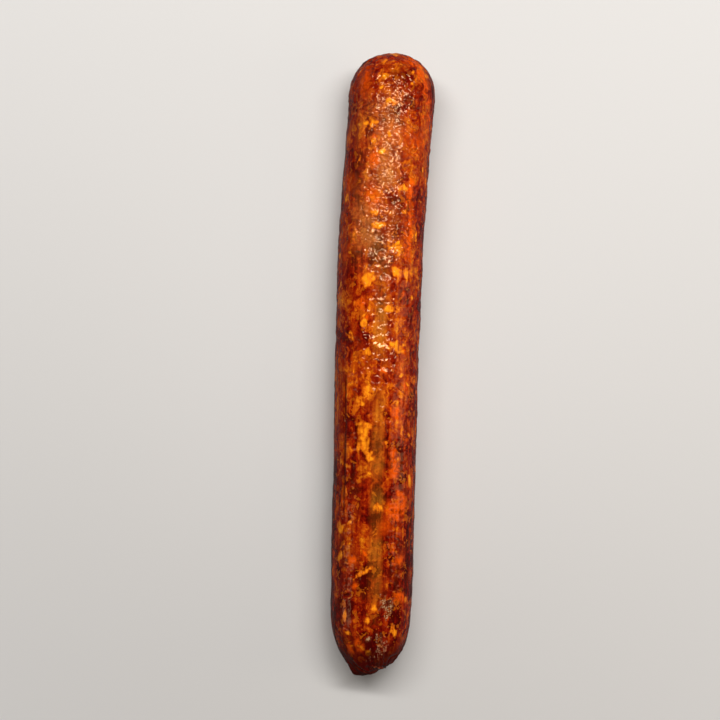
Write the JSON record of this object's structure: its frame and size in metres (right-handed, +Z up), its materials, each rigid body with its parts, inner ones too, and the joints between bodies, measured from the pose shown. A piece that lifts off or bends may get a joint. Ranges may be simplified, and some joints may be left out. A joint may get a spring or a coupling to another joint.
{
  "type": "cured sausage",
  "caption": "Long slender stick of cured sausage in a thin glossy casing, lying on its side, with one round end and one gathered end.",
  "frame": {"origin": "on the surface that the stick rests on, under the middle of its bounding box", "axes": "+Y along the stick, towards its round end; +Z up, away from the resting surface; +X across the stick, on the hollow side of its slight bow"},
  "size_m": [0.0436, 0.3, 0.0406],
  "materials": {
    "casing": "gloss"
  },
  "bodies": {
    "root": {"sausage": "casing"}
  },
  "joints": []
}
